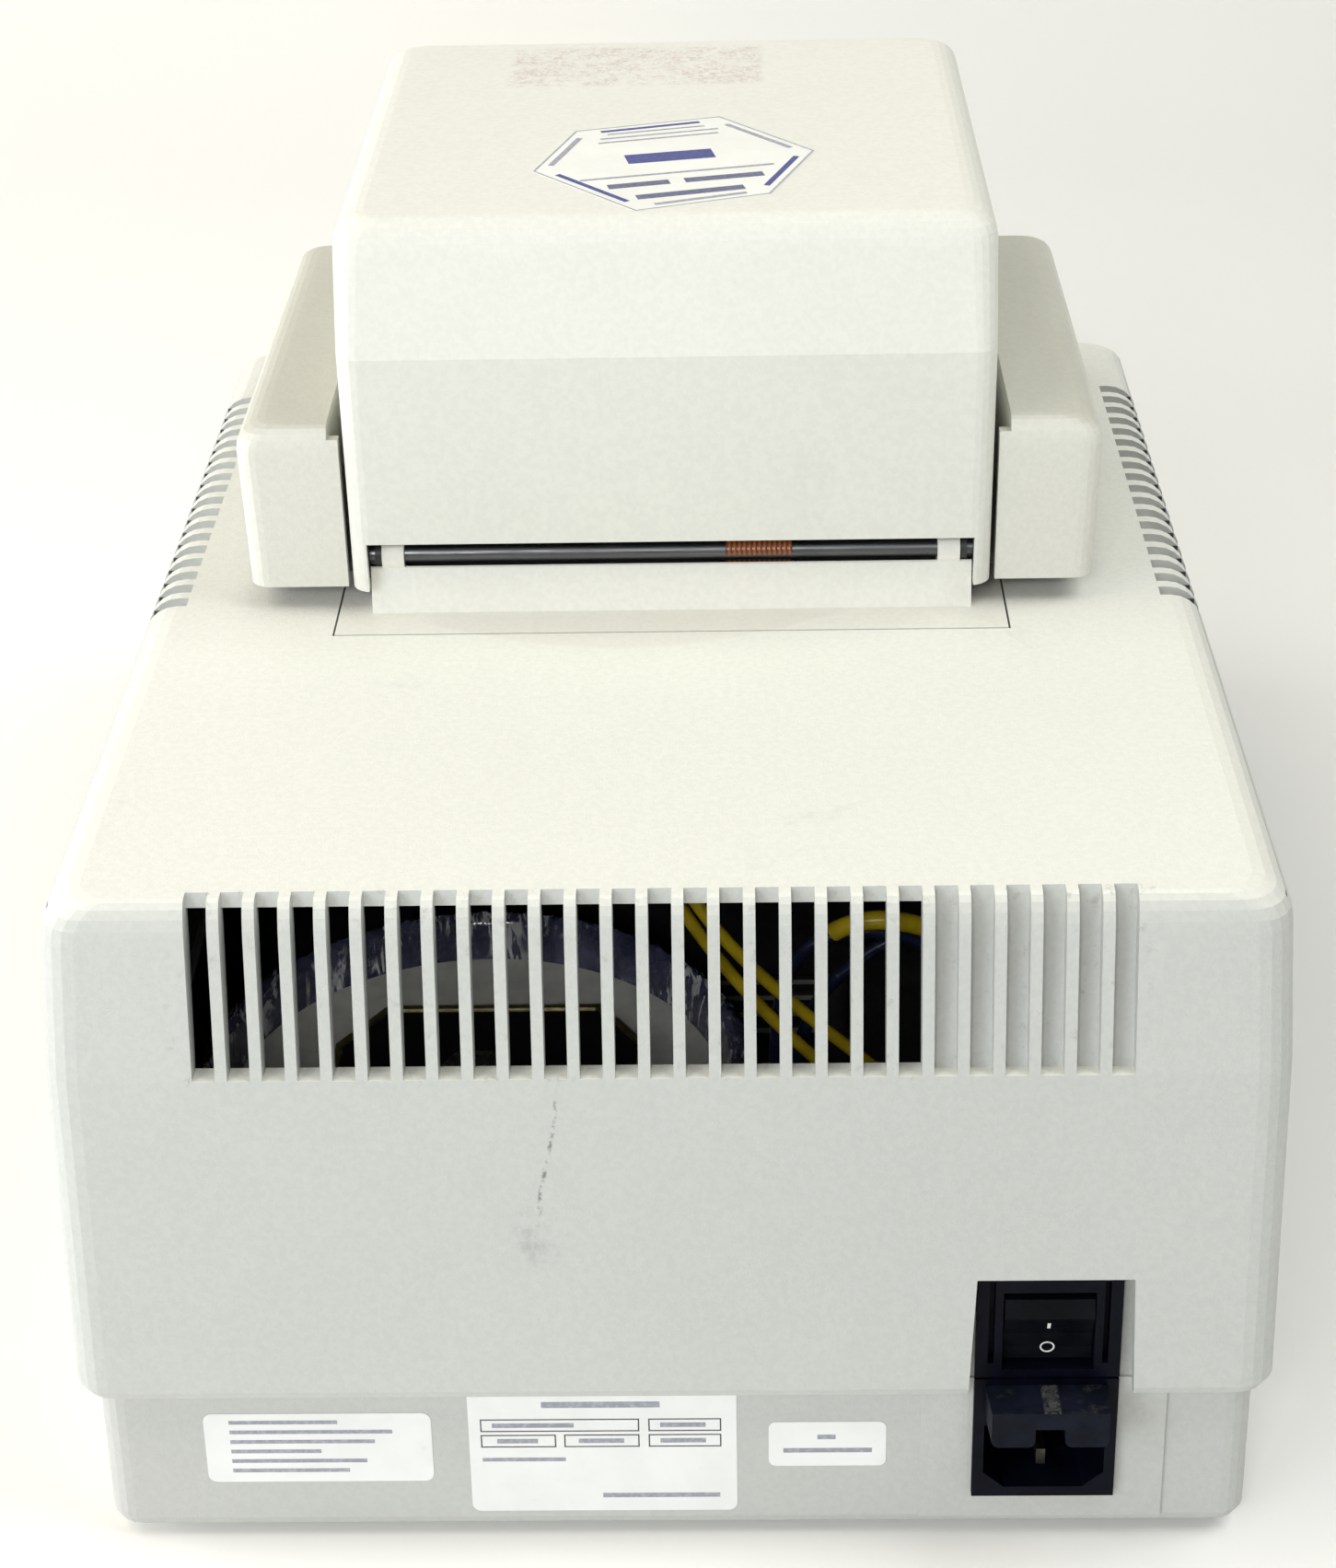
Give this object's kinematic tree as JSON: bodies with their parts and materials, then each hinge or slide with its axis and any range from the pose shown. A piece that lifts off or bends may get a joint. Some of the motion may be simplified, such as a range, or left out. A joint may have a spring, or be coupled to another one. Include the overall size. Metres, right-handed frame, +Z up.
{
  "type": "thermal cycler",
  "caption": "Bench-top thermal cycler: moulded housing with rear grille and power inlet, hinged heated lid with latch over a well block, fan-cooled heat sink and sloped controls.",
  "frame": {"origin": "on the table, midway between the sides and 207.5 mm in front of the top cover's lower rear edge, so near the middle of the footprint", "axes": "+Z up, -Y towards the operator at the front, +Y out of the back with the grille and power inlet, +X to the operator's right"},
  "size_m": [0.26, 0.4232, 0.2522],
  "materials": {
    "cover_plastic": "fine spark-eroded texture, warm light grey",
    "base_plastic": "fine texture, light grey",
    "hood_plastic": "smooth off-white",
    "cheek_plastic": "fine texture, beige grey",
    "inlet_plastic": "blue-black moulding",
    "dark_plastic": "black moulding",
    "blue_plastic": "slate blue moulding",
    "key_plastic": "light grey keycap",
    "start_plastic": "green keycap",
    "stop_plastic": "red keycap",
    "window": "clear window",
    "foot_rubber": "black rubber",
    "steel": "plain steel",
    "dark_steel": "dark coated steel",
    "aluminium": "machined aluminium",
    "brass": "tinned brass",
    "coil_wrap": "blue-black film wrap",
    "washer_grey": "grey painted washer",
    "plate_black": "black plate",
    "wire_yellow": "yellow wire insulation",
    "wire_dark": "dark blue wire insulation",
    "board_green": "green circuit board",
    "flex": "copper-brown flexible circuit",
    "ceramic_white": "white alumina",
    "mat": "orange silicone heater mat"
  },
  "bodies": {
    "housing": {"base_tub": "base_plastic", "rubber_feet": "foot_rubber", "cover_screws": "steel", "top_cover": "cover_plastic", "deck_insert": "cover_plastic", "block_collar": "dark_plastic", "hinge_strip": "hood_plastic", "hinge_rod": "steel", "hinge_brackets": "dark_steel", "flex_cable": "flex", "latch_strike": "steel", "inlet_housing": "inlet_plastic", "inlet_pins": "steel", "inlet_terminals": "brass", "coil_pad": "foot_rubber", "transformer_coil": "coil_wrap", "coil_washer": "washer_grey", "coil_plate": "plate_black", "coil_bolt": "steel", "earth_wires": "wire_yellow", "mains_wires": "wire_dark", "power_board": "board_green", "power_parts": "dark_plastic", "board_standoffs": "brass", "main_board": "board_green", "main_parts": "dark_plastic", "sample_block": "aluminium", "block_screws": "steel", "peltier_modules": "ceramic_white", "heat_sink": "aluminium", "sink_pillars": "steel", "fan_housing": "dark_plastic", "fan_screws": "steel", "control_panel": "blue_plastic", "display_window": "window", "display_module": "dark_plastic", "key_board": "board_green"},
    "lid": {"hood_shell": "hood_plastic", "right_cheek": "cheek_plastic", "left_cheek": "cheek_plastic", "lid_frame": "dark_steel", "lid_screws": "steel", "pressure_carrier": "aluminium", "pressure_springs": "steel"},
    "heated_plate": {"heated_plate": "aluminium", "heater_mat": "mat", "guide_pins": "steel"},
    "latch": {"latch_handle": "blue_plastic"},
    "rocker": {"rocker_switch": "inlet_plastic"},
    "fuse_drawer": {"fuse_drawer": "inlet_plastic", "fuses": "steel"},
    "fan": {"fan_rotor": "dark_plastic"},
    "key_up": {"key_up": "key_plastic"},
    "key_down": {"key_down": "key_plastic"},
    "key_left": {"key_left": "key_plastic"},
    "key_right": {"key_right": "key_plastic"},
    "key_enter": {"key_enter": "key_plastic"},
    "key_exit": {"key_exit": "key_plastic"},
    "key_start": {"key_start": "start_plastic"},
    "key_stop": {"key_stop": "stop_plastic"}
  },
  "joints": [
    {"name": "lid_hinge", "type": "hinge", "parent": "housing", "child": "lid", "pos_m": [0, 0.048, 0.1697], "axis": [-1, 0, 0], "range_deg": [0, 75]},
    {"name": "plate_float", "type": "slide", "parent": "lid", "child": "heated_plate", "axis": [0, 0, 1], "range_m": [0, 0.003], "stiffness_N_per_m": 2000, "deforming": ["pressure_springs"]},
    {"name": "latch_pivot", "type": "hinge", "parent": "lid", "child": "latch", "pos_m": [0, -0.0985, 0.181], "axis": [-1, 0, 0], "range_deg": [-8, 25]},
    {"name": "rocker_pivot", "type": "hinge", "parent": "housing", "child": "rocker", "pos_m": [-0.081, 0.1965, 0.05637], "axis": [1, 0, 0], "range_deg": [0, 14]},
    {"name": "fuse_drawer_slide", "type": "slide", "parent": "housing", "child": "fuse_drawer", "axis": [0, 0.9962, 0.0872], "range_m": [0, 0.022]},
    {"name": "fan_spin", "type": "hinge", "parent": "housing", "child": "fan", "pos_m": [0, -0.026, 0.04], "axis": [0, 0, 1], "continuous": true},
    {"name": "key_up_press", "type": "slide", "parent": "housing", "child": "key_up", "axis": [0, 0.6712, -0.7413], "range_m": [0, 0.0008], "stiffness_N_per_m": 400},
    {"name": "key_down_press", "type": "slide", "parent": "housing", "child": "key_down", "axis": [0, 0.6712, -0.7413], "range_m": [0, 0.0008], "stiffness_N_per_m": 400},
    {"name": "key_left_press", "type": "slide", "parent": "housing", "child": "key_left", "axis": [0, 0.6712, -0.7413], "range_m": [0, 0.0008], "stiffness_N_per_m": 400},
    {"name": "key_right_press", "type": "slide", "parent": "housing", "child": "key_right", "axis": [0, 0.6712, -0.7413], "range_m": [0, 0.0008], "stiffness_N_per_m": 400},
    {"name": "key_enter_press", "type": "slide", "parent": "housing", "child": "key_enter", "axis": [0, 0.6712, -0.7413], "range_m": [0, 0.0008], "stiffness_N_per_m": 400},
    {"name": "key_exit_press", "type": "slide", "parent": "housing", "child": "key_exit", "axis": [0, 0.6712, -0.7413], "range_m": [0, 0.0008], "stiffness_N_per_m": 400},
    {"name": "key_start_press", "type": "slide", "parent": "housing", "child": "key_start", "axis": [0, 0.6712, -0.7413], "range_m": [0, 0.0008], "stiffness_N_per_m": 400},
    {"name": "key_stop_press", "type": "slide", "parent": "housing", "child": "key_stop", "axis": [0, 0.6712, -0.7413], "range_m": [0, 0.0008], "stiffness_N_per_m": 400}
  ]
}
